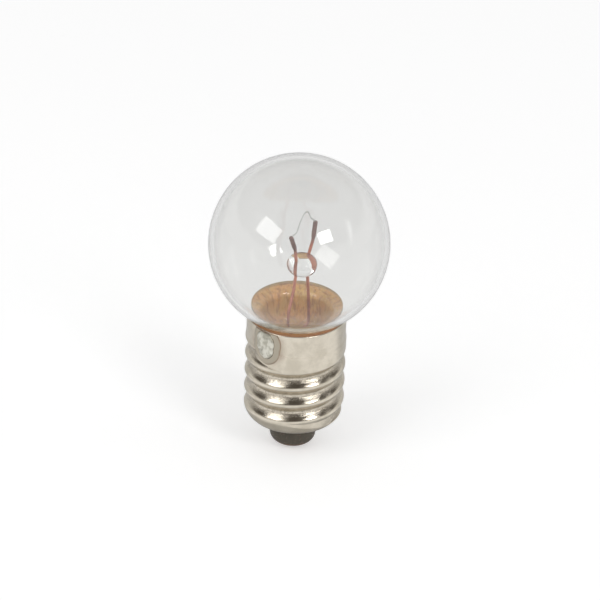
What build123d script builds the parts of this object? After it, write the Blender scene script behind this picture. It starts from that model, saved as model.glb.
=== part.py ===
from build123d import *
import os
from math import atan2, cos, degrees, pi, radians, sin, sqrt, tan

# A miniature globe lamp on an E10 screw cap, in millimetres.
# The origin is the tip of the centre contact and +Z runs up the axis to the top of the globe.
# Angles round the axis are counted from +X, against the clock as seen from above.

# Screw cap: thin brass, nickel-plated, with a rolled right-hand thread
thread_pitch = 1.814
crest_diameter = 9.50
root_diameter = 8.46
crest_flattening = 0.02
crest_land = 0.12
collar_diameter = 9.36
collar_height = 2.06
collar_step_height = 0.35
shell_wall = 0.22
rim_height = 14.2
rim_rounding = 0.08
groove_start_angle = 340
groove_start_height = 4.33
groove_run_out_turns = 0.28
groove_run_in_turns = 0.24
groove_lift_spare = 0.08
groove_below_collar_turns = 0.25
dome_start_height = 4.7
dome_shoulder_radius = 1.7
dome_cone_angle = 60
lip_diameter = 4.4
lip_overlap = 0.15
notch_width = 0.7
notch_depth = 0.75

# Insulator: black glass pressed into the foot of the shell
insulator_side_height = 1.35
insulator_foot_height = 0.42
insulator_foot_diameter = 2.8
insulator_fill_height = 3.3

# Contact eyelet and the solder that closes it
eyelet_flange_diameter = 2.4
eyelet_flange_thickness = 0.2
eyelet_flange_rounding = 0.07
eyelet_inset = 0.08
eyelet_barrel_diameter = 1.0
eyelet_bore_diameter = 0.6
eyelet_stand = 0.25
contact_solder_diameter = 1.9
contact_flat_diameter = 1.0
contact_plug_height = 1.4

# Globe and neck, blown in one piece of clear glass
globe_diameter = 16.9
globe_sunk_in_collar = 1.1
glass_wall = 0.5
neck_diameter = 7.4
neck_fillet = 0.6
neck_straight_below_rim = 1.6
neck_shoulder_radius = 2.6
seal_diameter = 3.4
seal_below_floor = 1.3
seal_fillet = 0.15
exhaust_tip_diameter = 1.2
exhaust_tip_length = 2.6

# Capping cement: fills the collar up to the glass, and has run down round the neck's shoulder
cement_below_rim = 0.15
cement_meniscus_width = 0.16
cement_meniscus_dish = 0.03
cement_collar_depth = 2.1
cement_coat = 0.5
cement_lead_clearance = 0.05

# Leads, bead and filament, which all stand in one upright plane through the side solder
lead_plane_angle = 234.5
lead_diameter = 0.3
lead_bend_limit = 2.0
lead_bend_share = 0.45
lead_clearance = 0.06
lead_spacing_at_seal = 1.9
lead_drop_below_seal = 1.1
lead_turn_rise = 0.3
lead_swing = 1.2
lead_clear_of_floor = 0.6
lead_above_notch = 0.3
lead_end_in_solder = 0.3
clamp_length = 1.6
clamp_width = 0.5
clamp_thickness = 0.36
clamp_rounding = 0.12
clamp_overhang = 0.1
filament_diameter = 0.22
filament_grip = 0.35
bead_diameter = 2.9
bead_thickness = 2.0
bead_offset = -0.57
bead_above_rim = 4.86

# Routes inside the globe, as places in the lead plane: out toward the side solder, and above the rim
side_route = [
    (1.3, 8.5),
    (0.62, 6.95),
    (0.34, 5.4),
    (0.34, 4.3),
    (0.69, 2.43),
    (1.35, 0.4),
    (1.41, -0.8),
]
centre_route = [
    (-2.47, 8.61),
    (-2.18, 6.83),
    (-1.49, 5.4),
    (-1.49, 4.3),
    (-1.54, 3.1),
    (-1.94, -0.3),
    (-2.02, -1.6),
]
filament_route = [
    (0.42, 8.9),
    (-0.05, 9.75),
    (-0.55, 10.4),
    (-1.2, 10.3),
    (-1.78, 9.3),
]

# Side solder on the collar: a raised lump with a thin skirt that has run out round it
solder_width = 2.3
solder_length = 3.1
solder_thickness = 0.36
solder_rounding = 0.14
solder_skirt = 0.32
solder_skirt_thickness = 0.12
solder_below_rim = 0.05
solder_corner = 0.3

# Outline of the lump as shares of its half width and half length, seen from outside
solder_outline = [
    (-0.85, 0.95),
    (-1, 0.1),
    (-0.65, -0.75),
    (0, -1),
    (0.6, -0.8),
    (0.9, -0.1),
    (0.85, 0.6),
    (0.45, 0.97),
]

# Radii and heights worked out from the sizes above
crest_radius = crest_diameter / 2
root_radius = root_diameter / 2
collar_radius = collar_diameter / 2
collar_bore = collar_radius - shell_wall
lip_radius = lip_diameter / 2
lip_bore = lip_radius - lip_overlap
globe_radius = globe_diameter / 2
globe_centre = rim_height + globe_radius - globe_sunk_in_collar
neck_radius = neck_diameter / 2
neck_straight_end = rim_height - neck_straight_below_rim
glass_floor = neck_straight_end - (neck_shoulder_radius - glass_wall)
seal_height = glass_floor - seal_below_floor
lead_radius = lead_diameter / 2
notch_floor = rim_height - notch_depth

# The lead plane: x runs outward over the side solder and y runs up
solder_way = Vector(cos(radians(lead_plane_angle)), sin(radians(lead_plane_angle)), 0)
round_way = Vector(-sin(radians(lead_plane_angle)), cos(radians(lead_plane_angle)), 0)
lead_plane = Plane(origin=(0, 0, 0), x_dir=solder_way, z_dir=-round_way)
side_route = [(out, rim_height + rise) for out, rise in side_route]
centre_route = [(out, rim_height + rise) for out, rise in centre_route]
filament_route = [(out, rim_height + rise) for out, rise in filament_route]

# Section of the thread: two pairs of equal arcs that meet halfway down each flank
round_crest = crest_radius + crest_flattening
groove_depth = round_crest - root_radius
quarter_width = (thread_pitch - crest_land) / 4
flank_angle = 2 * atan2(groove_depth / 2, quarter_width)
thread_rounding = quarter_width / sin(flank_angle)
thread_top = rim_height - collar_height - collar_step_height
groove_turns = (thread_top - groove_start_height) / thread_pitch - groove_below_collar_turns
groove_full_turns = groove_turns - groove_run_out_turns


def groove_section(plane, inset):
    """Outline of the groove on a plane whose x runs outward, its wall side moved in by inset."""
    root_centre = root_radius + thread_rounding
    crest_centre = round_crest - thread_rounding
    root_arc = thread_rounding + inset
    crest_arc = thread_rounding - inset
    join_x = root_centre - root_arc * cos(flank_angle) - root_radius
    join_y = root_arc * sin(flank_angle)
    middle_x = crest_centre + crest_arc * cos(flank_angle / 2) - root_radius
    middle_y = 2 * quarter_width - crest_arc * sin(flank_angle / 2)
    end_x = crest_centre + crest_arc - root_radius
    end_y = 2 * quarter_width
    outer_x = 2 * groove_depth
    with BuildSketch(plane) as section:
        with BuildLine():
            ThreePointArc((join_x, -join_y), (-inset, 0), (join_x, join_y))
            ThreePointArc((join_x, join_y), (middle_x, middle_y), (end_x, end_y))
            Polyline((end_x, end_y), (outer_x, end_y), (outer_x, -end_y), (end_x, -end_y))
            ThreePointArc((end_x, -end_y), (middle_x, -middle_y), (join_x, -join_y))
        make_face()
    return section.sketch


def groove_run(turns, inset, lift):
    """One stretch of the groove from +X at height 0, which grows shallower by lift as it climbs."""
    rise = thread_pitch * turns
    forward = Vector(0, 2 * pi * root_radius, thread_pitch)
    start = Plane(origin=(root_radius, 0, 0), x_dir=(1, 0, 0), z_dir=forward)
    with BuildPart() as run:
        with BuildLine() as path:
            Helix(thread_pitch, rise, root_radius, cone_angle=degrees(atan2(lift, rise)))
        sweep(groove_section(start, inset), path=path.line, is_frenet=True)
    return run.part


def groove(inset):
    """The whole groove: its run-in on the dome, its full turns and its run-out below the collar."""
    lift = groove_depth + groove_lift_spare
    end_height = groove_start_height + thread_pitch * groove_full_turns
    end_angle = groove_start_angle + 360 * groove_full_turns
    with BuildPart() as runs:
        with Locations(Location((0, 0, groove_start_height), (0, 0, groove_start_angle))):
            add(groove_run(groove_full_turns, inset, 0))
        with Locations(Location((0, 0, groove_start_height), (180, 0, -groove_start_angle))):
            add(groove_run(groove_run_in_turns, inset, lift))
        with Locations(Location((0, 0, end_height), (0, 0, end_angle))):
            add(groove_run(groove_run_out_turns, inset, lift))
    return runs.part


def cone_height(radius, inset):
    """Height of the foot's cone at a radius, on its outer face or moved in by inset."""
    cone = radians(dome_cone_angle)
    arc = dome_shoulder_radius - inset
    cone_radius = crest_radius - dome_shoulder_radius + arc * cos(cone)
    return dome_start_height - arc * sin(cone) - (cone_radius - radius) / tan(cone)


def shell_form(inset, top):
    """The turned form of the shell before its thread is rolled, moved in by inset all over."""
    cone = radians(dome_cone_angle)
    arc = dome_shoulder_radius - inset
    arc_centre = crest_radius - dome_shoulder_radius
    arc_middle = (arc_centre + arc * cos(cone / 2), dome_start_height - arc * sin(cone / 2))
    arc_end = (arc_centre + arc * cos(cone), dome_start_height - arc * sin(cone))
    foot = cone_height(lip_bore, inset)
    with BuildPart() as form:
        with BuildSketch(Plane.XZ):
            with BuildLine():
                Polyline((0, top), (0, foot), (lip_bore, foot), arc_end)
                ThreePointArc(arc_end, arc_middle, (crest_radius - inset, dome_start_height))
                Polyline(
                    (crest_radius - inset, dome_start_height),
                    (crest_radius - inset, thread_top),
                    (collar_radius - inset, thread_top + collar_step_height),
                    (collar_radius - inset, top),
                    (0, top),
                )
            make_face()
        revolve(axis=Axis.Z)
    return form.part


def rim_notch():
    """The slot in the rim for the side lead, as a block that runs out from the axis."""
    slot = Plane(origin=(0, 0, rim_height), x_dir=round_way, z_dir=solder_way)
    with BuildPart() as block:
        with BuildSketch(slot):
            Rectangle(notch_width, 2 * notch_depth)
        extrude(amount=crest_radius + solder_thickness)
    return block.part


def wire(points, diameter):
    """A round wire through points of the lead plane, each bend as wide as its two runs allow."""
    radii = []
    for before, corner, after in zip(points, points[1:], points[2:]):
        arriving = Vector(*corner) - Vector(*before)
        leaving = Vector(*after) - Vector(*corner)
        half_turn = radians(arriving.get_angle(leaving)) / 2
        room = lead_bend_share * min(arriving.length, leaving.length) / tan(half_turn)
        radii.append(min(room, lead_bend_limit))
    with BuildPart() as rod:
        with BuildLine(lead_plane) as path:
            FilletPolyline(*points, radius=radii)
        with BuildSketch(Plane(origin=path.line @ 0, z_dir=path.line % 0)):
            Circle(diameter / 2)
        sweep(path=path.line)
    return rod.part


def clamp_way(route):
    """Direction in which a lead's clamp points, in the lead plane."""
    return (Vector(*route[0]) - Vector(*route[1])).normalized()


def clamp(route):
    """The end of a lead, flattened and folded over the filament's leg."""
    tip = lead_plane.from_local_coords(Vector(*route[0]))
    foot = lead_plane.from_local_coords(Vector(*route[1]))
    way = (tip - foot).normalized()
    with BuildPart() as fold:
        with BuildSketch(Plane(origin=tip + way * clamp_overhang, x_dir=round_way, z_dir=-way)):
            Rectangle(clamp_thickness, clamp_width)
        extrude(amount=clamp_length)
        fillet(fold.edges(), clamp_rounding)
    return fold.part


# Outside of the screw shell as a solid, and the hollow inside it
with BuildPart() as shell_outside:
    add(shell_form(0, rim_height))
    fillet(shell_outside.edges().filter_by(GeomType.CIRCLE).group_by(Axis.Z)[-1], rim_rounding)
    add(groove(0), mode=Mode.SUBTRACT)
with BuildPart() as shell_hollow:
    add(shell_form(shell_wall, rim_height + shell_wall))
    add(groove(shell_wall), mode=Mode.SUBTRACT)

# Screw shell, drawn and rolled from one piece, with a bore in its foot and a notch in its rim
with BuildPart() as screw_shell:
    add(shell_outside.part)
    add(shell_hollow.part, mode=Mode.SUBTRACT)
    Cylinder(lip_bore, 2 * insulator_fill_height, mode=Mode.SUBTRACT)
    add(rim_notch(), mode=Mode.SUBTRACT)

# Contact eyelet: a flange let into the insulator and a barrel through it
flange_top = insulator_foot_height + eyelet_inset
flange_bottom = flange_top - eyelet_flange_thickness
barrel_top = insulator_fill_height + eyelet_stand
upward = (Align.CENTER, Align.CENTER, Align.MIN)
with BuildPart() as contact_eyelet:
    with Locations((0, 0, flange_bottom)):
        Cylinder(eyelet_flange_diameter / 2, eyelet_flange_thickness, align=upward)
    fillet(contact_eyelet.edges().group_by(Axis.Z)[0], eyelet_flange_rounding)
    with Locations((0, 0, flange_top)):
        Cylinder(eyelet_barrel_diameter / 2, barrel_top - flange_top, align=upward)

# Insulator: fills the foot of the shell and closes round its lip as a rounded button
foot_radius = insulator_foot_diameter / 2
button_drop = insulator_side_height - insulator_foot_height
button_middle = (
    foot_radius + (lip_radius - foot_radius) * cos(radians(45)),
    insulator_side_height - button_drop * sin(radians(45)),
)
fill_rise = insulator_fill_height - cone_height(lip_bore, shell_wall)
fill_radius = lip_bore + fill_rise * tan(radians(dome_cone_angle))
with BuildPart() as insulator:
    with BuildSketch(Plane.XZ):
        with BuildLine():
            Polyline(
                (0, insulator_fill_height),
                (0, insulator_foot_height),
                (foot_radius, insulator_foot_height),
            )
            ThreePointArc(
                (foot_radius, insulator_foot_height),
                button_middle,
                (lip_radius, insulator_side_height),
            )
            Polyline(
                (lip_radius, insulator_side_height),
                (lip_radius, cone_height(lip_radius, 0)),
                (lip_bore, cone_height(lip_bore, 0)),
                (lip_bore, cone_height(lip_bore, shell_wall)),
                (fill_radius, insulator_fill_height),
                (0, insulator_fill_height),
            )
        make_face()
    revolve(axis=Axis.Z)
    add(contact_eyelet.part, mode=Mode.SUBTRACT)
with contact_eyelet:
    with Locations((0, 0, flange_bottom)):
        Cylinder(eyelet_bore_diameter / 2, barrel_top - flange_bottom, align=upward, mode=Mode.SUBTRACT)

# Filament: a coil of fine tungsten wire in an arch, as the tube that the coil fills
side_way = clamp_way(side_route)
centre_way = clamp_way(centre_route)
side_tip = Vector(*side_route[0])
centre_tip = Vector(*centre_route[0])
filament_stand = clamp_overhang + filament_diameter
filament_points = [
    side_tip - side_way * filament_grip,
    side_tip + side_way * filament_stand,
    *[Vector(*place) for place in filament_route],
    centre_tip + centre_way * filament_stand,
    centre_tip - centre_way * filament_grip,
]
with BuildPart() as filament:
    add(wire([(point.X, point.Y) for point in filament_points], filament_diameter))

# Side lead: from its clamp through the bead and the seal, then up beside the neck to the notch
seal_offset = lead_spacing_at_seal / 2
turn_height = seal_height - lead_drop_below_seal
inside_thread = root_radius - shell_wall - lead_radius - lead_clearance
beside_neck = (neck_radius + collar_bore) / 2
notch_line = notch_floor + lead_above_notch
side_lead_points = side_route + [
    (seal_offset, glass_floor + lead_diameter),
    (seal_offset, turn_height),
    (inside_thread, turn_height + lead_turn_rise),
    (inside_thread, glass_floor - lead_clear_of_floor),
    (beside_neck, glass_floor + lead_swing),
    (beside_neck, notch_line),
    (collar_radius + lead_end_in_solder, notch_line),
]
with BuildPart() as side_lead:
    add(wire(side_lead_points, lead_diameter))
    add(clamp(side_route))
    add(filament.part, mode=Mode.SUBTRACT)

# Centre lead: from its clamp through the bead and the seal, then down the axis to the contact
exhaust_tip_end = seal_height - exhaust_tip_length
centre_lead_points = centre_route + [
    (-seal_offset, glass_floor + lead_diameter),
    (-seal_offset, exhaust_tip_end + lead_turn_rise),
    (0, exhaust_tip_end - lead_swing),
    (0, flange_top),
]
with BuildPart() as centre_lead:
    add(wire(centre_lead_points, lead_diameter))
    add(clamp(centre_route))
    add(filament.part, mode=Mode.SUBTRACT)

# Glass bead that holds the leads apart: a drop of glass melted round both of them
bead_middle = lead_plane.from_local_coords(Vector(bead_offset, rim_height + bead_above_rim))
bead_rise = bead_thickness / 2
bead_flat = bead_diameter / 2 - bead_rise
with BuildPart() as glass_bead:
    with BuildSketch(Plane(origin=bead_middle, x_dir=solder_way, z_dir=-round_way)):
        with BuildLine():
            Line((0, bead_rise), (bead_flat, bead_rise))
            RadiusArc((bead_flat, bead_rise), (bead_flat, -bead_rise), bead_rise)
            Polyline((bead_flat, -bead_rise), (0, -bead_rise), (0, bead_rise))
        make_face()
    revolve(axis=Axis(bead_middle, (0, 0, 1)))
    add(side_lead.part, mode=Mode.SUBTRACT)
    add(centre_lead.part, mode=Mode.SUBTRACT)

# Glass envelope: globe, neck, seal and exhaust tip
shoulder_centre = neck_radius - neck_shoulder_radius
seal_radius = seal_diameter / 2
tip_radius = exhaust_tip_diameter / 2
shoulder_end = neck_straight_end - sqrt(neck_shoulder_radius**2 - (seal_radius - shoulder_centre) ** 2)
bore_radius = neck_radius - glass_wall
hollow_radius = globe_radius - glass_wall
neck_top = globe_centre - sqrt(globe_radius**2 - neck_radius**2)
bore_top = globe_centre - sqrt(hollow_radius**2 - bore_radius**2)
with BuildPart() as glass_envelope:
    with BuildSketch(Plane.XZ) as glass_outside:
        with BuildLine():
            RadiusArc((0, exhaust_tip_end), (tip_radius, exhaust_tip_end + tip_radius), -tip_radius)
            Polyline(
                (tip_radius, exhaust_tip_end + tip_radius),
                (tip_radius, seal_height),
                (seal_radius, seal_height),
                (seal_radius, shoulder_end),
            )
            RadiusArc((seal_radius, shoulder_end), (neck_radius, neck_straight_end), -neck_shoulder_radius)
            Line((neck_radius, neck_straight_end), (neck_radius, neck_top))
            RadiusArc((neck_radius, neck_top), (globe_radius, globe_centre), -globe_radius)
            RadiusArc((globe_radius, globe_centre), (0, globe_centre + globe_radius), -globe_radius)
            Line((0, globe_centre + globe_radius), (0, exhaust_tip_end))
        make_face()
        corners = glass_outside.vertices()
        fillet(corners.sort_by_distance((neck_radius, neck_top))[0], neck_fillet)
        fillet(corners.sort_by_distance((tip_radius, seal_height))[0], seal_fillet)
        fillet(corners.sort_by_distance((seal_radius, seal_height))[0], seal_fillet)
    revolve(axis=Axis.Z)
    with BuildSketch(Plane.XZ) as glass_inside:
        with BuildLine():
            Line((0, glass_floor), (shoulder_centre, glass_floor))
            RadiusArc(
                (shoulder_centre, glass_floor),
                (bore_radius, neck_straight_end),
                -(neck_shoulder_radius - glass_wall),
            )
            Line((bore_radius, neck_straight_end), (bore_radius, bore_top))
            RadiusArc((bore_radius, bore_top), (hollow_radius, globe_centre), -hollow_radius)
            RadiusArc((hollow_radius, globe_centre), (0, globe_centre + hollow_radius), -hollow_radius)
            Line((0, globe_centre + hollow_radius), (0, glass_floor))
        make_face()
        corners = glass_inside.vertices()
        fillet(corners.sort_by_distance((bore_radius, bore_top))[0], neck_fillet + glass_wall)
    revolve(axis=Axis.Z, mode=Mode.SUBTRACT)
    add(side_lead.part, mode=Mode.SUBTRACT)
    add(centre_lead.part, mode=Mode.SUBTRACT)

# Capping cement: a meniscus at the rim, a plug in the collar and a coat round the shoulder
cement_top = rim_height - cement_below_rim
cement_step = rim_height - cement_collar_depth
meniscus_radius = collar_bore - cement_meniscus_width
meniscus_height = globe_centre - sqrt(globe_radius**2 - meniscus_radius**2)
meniscus_middle = (
    (collar_bore + meniscus_radius) / 2 - cement_meniscus_dish,
    (cement_top + meniscus_height) / 2 - cement_meniscus_dish,
)
coat_outside = beside_neck - lead_radius - cement_lead_clearance
coat_reach = neck_shoulder_radius + cement_coat
coat_side_end = neck_straight_end - sqrt(coat_reach**2 - (coat_outside - shoulder_centre) ** 2)
coat_foot = neck_straight_end - sqrt(coat_reach**2 - (seal_radius - shoulder_centre) ** 2)
neck_within_wall = neck_radius - glass_wall / 3
seal_within_wall = seal_radius - glass_wall / 3
arc_within_wall = neck_shoulder_radius - glass_wall / 3
arc_foot = neck_straight_end - sqrt(arc_within_wall**2 - (seal_within_wall - shoulder_centre) ** 2)
with BuildPart() as capping_cement:
    with BuildSketch(Plane.XZ):
        with BuildLine():
            Line((neck_within_wall, meniscus_height), (neck_within_wall, neck_straight_end))
            RadiusArc((neck_within_wall, neck_straight_end), (seal_within_wall, arc_foot), arc_within_wall)
            Polyline(
                (seal_within_wall, arc_foot),
                (seal_within_wall, coat_foot),
                (seal_radius, coat_foot),
            )
            RadiusArc((seal_radius, coat_foot), (coat_outside, coat_side_end), -coat_reach)
            Polyline(
                (coat_outside, coat_side_end),
                (coat_outside, cement_step),
                (collar_bore, cement_step),
                (collar_bore, cement_top),
            )
            ThreePointArc((collar_bore, cement_top), meniscus_middle, (meniscus_radius, meniscus_height))
            Line((meniscus_radius, meniscus_height), (neck_within_wall, meniscus_height))
        make_face()
    revolve(axis=Axis.Z)
    add(glass_envelope.part, mode=Mode.SUBTRACT)
    add(side_lead.part, mode=Mode.SUBTRACT)

# Side solder: lump and skirt that hug the collar, and the plug that fills the rim notch
solder_top = rim_height - solder_below_rim
solder_points = [(x * solder_width / 2, y * solder_length / 2) for x, y in solder_outline]
solder_plane = Plane(origin=(0, 0, solder_top - solder_length / 2), x_dir=round_way, z_dir=solder_way)
with BuildPart() as solder_lump:
    with BuildSketch(solder_plane) as lump_outline:
        Polygon(*solder_points, align=None)
        fillet(lump_outline.vertices(), solder_corner)
    extrude(amount=collar_radius + 2 * solder_thickness)
    Cylinder(collar_radius + solder_thickness, 2 * solder_top, mode=Mode.INTERSECT)
    lump_face = solder_lump.faces().sort_by(Axis((0, 0, 0), solder_way))[-1]
    fillet(lump_face.edges(), solder_rounding)
with BuildPart() as side_solder:
    with BuildSketch(solder_plane) as skirt_outline:
        Polygon(*solder_points, align=None)
        offset(amount=solder_skirt)
    extrude(amount=collar_radius + 2 * solder_thickness)
    Cylinder(collar_radius + solder_skirt_thickness, 2 * solder_top, mode=Mode.INTERSECT)
    add(solder_lump.part)
    add(shell_outside.part, mode=Mode.SUBTRACT)
with BuildPart() as notch_plug:
    add(rim_notch())
    Cylinder(collar_radius, 2 * solder_top, mode=Mode.INTERSECT)
    Cylinder(collar_bore, 4 * solder_top, mode=Mode.SUBTRACT)
with side_solder:
    add(notch_plug.part)
    add(side_lead.part, mode=Mode.SUBTRACT)

# Contact solder: a dome over the eyelet with a worn flat, and the plug round the centre lead
solder_radius = contact_solder_diameter / 2
flat_radius = contact_flat_diameter / 2
with BuildPart() as contact_solder:
    with BuildSketch(Plane.XZ):
        with BuildLine():
            Line((0, 0), (flat_radius, 0))
            TangentArc((flat_radius, 0), (solder_radius, flange_bottom), tangent=(1, 0))
            Polyline(
                (solder_radius, flange_bottom),
                (eyelet_bore_diameter / 2, flange_bottom),
                (eyelet_bore_diameter / 2, contact_plug_height),
                (0, contact_plug_height),
                (0, 0),
            )
        make_face()
    revolve(axis=Axis.Z)
    add(centre_lead.part, mode=Mode.SUBTRACT)

os.makedirs("parts", exist_ok=True)
screw_shell.part.label = "screw_shell"
export_step(screw_shell.part, "parts/screw_shell.step")
insulator.part.label = "insulator"
export_step(insulator.part, "parts/insulator.step")
contact_eyelet.part.label = "contact_eyelet"
export_step(contact_eyelet.part, "parts/contact_eyelet.step")
contact_solder.part.label = "contact_solder"
export_step(contact_solder.part, "parts/contact_solder.step")
glass_envelope.part.label = "glass_envelope"
export_step(glass_envelope.part, "parts/glass_envelope.step")
capping_cement.part.label = "capping_cement"
export_step(capping_cement.part, "parts/capping_cement.step")
glass_bead.part.label = "glass_bead"
export_step(glass_bead.part, "parts/glass_bead.step")
side_lead.part.label = "side_lead"
export_step(side_lead.part, "parts/side_lead.step")
centre_lead.part.label = "centre_lead"
export_step(centre_lead.part, "parts/centre_lead.step")
filament.part.label = "filament"
export_step(filament.part, "parts/filament.step")
side_solder.part.label = "side_solder"
export_step(side_solder.part, "parts/side_solder.step")
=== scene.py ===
from math import atan2, cos, degrees, pi, radians, sin, sqrt

import bpy
import numpy as np
from mathutils import Matrix, Vector


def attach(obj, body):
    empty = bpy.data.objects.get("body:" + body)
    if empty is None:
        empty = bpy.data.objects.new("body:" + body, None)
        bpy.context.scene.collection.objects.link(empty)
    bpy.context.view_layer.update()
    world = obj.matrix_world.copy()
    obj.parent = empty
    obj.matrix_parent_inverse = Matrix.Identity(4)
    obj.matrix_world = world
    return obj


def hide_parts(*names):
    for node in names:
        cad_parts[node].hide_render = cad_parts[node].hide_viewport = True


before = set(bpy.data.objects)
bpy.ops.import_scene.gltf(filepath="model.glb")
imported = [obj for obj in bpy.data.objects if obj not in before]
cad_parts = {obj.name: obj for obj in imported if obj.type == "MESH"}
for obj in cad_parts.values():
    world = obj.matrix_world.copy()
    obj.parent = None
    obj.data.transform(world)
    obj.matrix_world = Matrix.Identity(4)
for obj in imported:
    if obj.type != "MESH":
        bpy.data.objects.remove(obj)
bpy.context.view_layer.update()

# Lead wires
# Two nickel-iron wires in a copper sheath, which seals well to soft glass. Each one is cut to
# length, bent and sealed through the foot of the neck, and stands in one plane with the other.
mm = 0.001
lead_plane_angle = radians(234.5)
lead_diameter = 0.3
lead_bend = 2.0
side_route = [
    (1.3, 22.7),
    (0.62, 21.15),
    (0.34, 19.6),
    (0.34, 18.5),
    (0.69, 16.63),
    (1.35, 14.6),
    (1.41, 13.4),
    (0.95, 10.8),
    (0.95, 8.1),
    (3.8, 8.4),
    (3.8, 9.9),
    (4.08, 11.7),
    (4.08, 13.75),
    (4.8, 13.75),
]
centre_route = [
    (-2.47, 22.81),
    (-2.18, 21.03),
    (-1.49, 19.6),
    (-1.49, 18.5),
    (-1.54, 17.3),
    (-1.94, 13.9),
    (-2.08, 11.4),
    (-0.95, 10.8),
    (-0.95, 6.9),
    (0, 5.4),
    (0, 0.5),
]
copper = (0.62, 0.27, 0.19, 1)
copper_dull = (0.42, 0.17, 0.125, 1)
copper_oxide = (0.27, 0.20, 0.19, 1)
oxide_share = 0.95
flame_band = (20.3, 21.4)
drawing_line = 0.06
wire_sides = 16
bend_steps = 12
sharp_corner = radians(40)


class Value:
    """One output of a node. Arithmetic on it adds Math nodes to the same tree."""

    def __init__(self, nodes, socket):
        self.nodes = nodes
        self.socket = socket

    def math(self, operation, first, second=0.0, third=0.0):
        """One operation of a Math node."""
        values = {0: first, 1: second, 2: third}
        return self.nodes.add("ShaderNodeMath", {"operation": operation}, values)

    def __add__(self, other):
        return self.math("ADD", self, other)

    def __radd__(self, other):
        return self.math("ADD", other, self)

    def __sub__(self, other):
        return self.math("SUBTRACT", self, other)

    def __rsub__(self, other):
        return self.math("SUBTRACT", other, self)

    def __mul__(self, other):
        return self.math("MULTIPLY", self, other)

    def __rmul__(self, other):
        return self.math("MULTIPLY", other, self)

    def __truediv__(self, other):
        return self.math("DIVIDE", self, other)


class Nodes:
    """A node tree while it is being wired up."""

    def __init__(self, tree):
        self.tree = tree
        tree.nodes.clear()

    def add(self, kind, settings=None, sockets=None, output=0):
        """Adds a node, sets its settings, then gives each named socket a value or a link."""
        node = self.tree.nodes.new(kind)
        for name, setting in (settings or {}).items():
            setattr(node, name, setting)
        for name, value in (sockets or {}).items():
            if isinstance(value, Value):
                self.tree.links.new(value.socket, node.inputs[name])
            else:
                node.inputs[name].default_value = value
        return Value(self, node.outputs[output]) if len(node.outputs) else None

    def given(self, name):
        """One of a growth tree's named inputs."""
        return self.add("NodeGroupInput", output=name)

    def place(self):
        """Object coordinates, in metres."""
        return self.add("ShaderNodeTexCoord", output="Object")

    def part(self, vector, axis):
        """One number of a vector: 0 for x, 1 for y and 2 for z."""
        return self.add("ShaderNodeSeparateXYZ", None, {"Vector": vector}, output=axis)

    def from_axis(self, place):
        """How far a place is from the lamp's axis, in metres."""
        across = self.part(place, 0)
        depth = self.part(place, 1)
        return across.math("SQRT", across * across + depth * depth)

    def vector(self, operation, sockets, output=0):
        """One operation of a Vector Math node."""
        return self.add("ShaderNodeVectorMath", {"operation": operation}, sockets, output)

    def grain(self, size, detail=2, roughness=0.5, stretch=(1, 1, 1)):
        """Noise whose lumps are about size millimetres across, times stretch along each axis."""
        squeeze = tuple(1 / share for share in stretch)
        place = self.vector("MULTIPLY", {0: self.place(), 1: squeeze})
        sockets = {"Vector": place, "Scale": 1 / (size * mm), "Detail": detail, "Roughness": roughness}
        return self.add("ShaderNodeTexNoise", None, sockets)

    def between(self, value, low, high):
        """0 up to low, 1 from high, and a smooth rise between them."""
        sockets = {0: value, 1: low, 2: high}
        return self.add("ShaderNodeMapRange", {"interpolation_type": "SMOOTHSTEP"}, sockets)

    def past(self, length, band):
        """0 before a band and 1 past it, for a length in metres and a band in millimetres."""
        return self.between(length, band[0] * mm, band[1] * mm)

    def blend(self, share, first, second):
        """A colour that turns from first to second as share goes from 0 to 1."""
        colours = {0: share, 6: first, 7: second}
        return self.add("ShaderNodeMix", {"data_type": "RGBA"}, colours, output=2)

    def bump(self, height, depth):
        """A normal for a surface whose height goes from 0 to depth millimetres."""
        return self.add("ShaderNodeBump", None, {"Height": height, "Distance": depth * mm})


def new_finish(name):
    """A material and the tree it is wired in."""
    material = bpy.data.materials.new(name)
    material.use_nodes = True
    return material, Nodes(material.node_tree)


def coat(nodes, show=True, **sockets):
    """A Principled shader. It is wired to the material's output if it is all that shows."""
    named = {name.replace("_", " "): value for name, value in sockets.items()}
    shader = nodes.add("ShaderNodeBsdfPrincipled", None, named)
    if show:
        nodes.add("ShaderNodeOutputMaterial", None, {"Surface": shader})
    return shader


def piece(name, points, faces, *materials):
    """A mesh object with smooth faces and sharp corners, from points in millimetres."""
    mesh = bpy.data.meshes.new(name)
    mesh.from_pydata((np.asarray(points, float) * mm).tolist(), [], faces)
    mesh.shade_smooth()
    mesh.set_sharp_from_angle(angle=sharp_corner)
    for material in materials:
        mesh.materials.append(material)
    made = bpy.data.objects.new(name, mesh)
    bpy.context.scene.collection.objects.link(made)
    return made


def in_lead_plane(out, height, aside=0.0):
    """A place by the leads' plane: outward from the axis in it, upward, and sideways from it."""
    x = out * cos(lead_plane_angle) - aside * sin(lead_plane_angle)
    y = out * sin(lead_plane_angle) + aside * cos(lead_plane_angle)
    return Vector((x, y, height))


def new_growth(name, start, sizes, finishes=("Material",)):
    """A Geometry Nodes tree with a named input for what it starts from and for each size and finish."""
    tree = bpy.data.node_groups.new(name, "GeometryNodeTree")
    tree.interface.new_socket("Geometry", in_out="OUTPUT", socket_type="NodeSocketGeometry")
    tree.interface.new_socket(start, in_out="INPUT", socket_type="NodeSocketGeometry")
    for size in sizes:
        tree.interface.new_socket(size, in_out="INPUT", socket_type="NodeSocketFloat")
    for finish in finishes:
        tree.interface.new_socket(finish, in_out="INPUT", socket_type="NodeSocketMaterial")
    return Nodes(tree)


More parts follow.
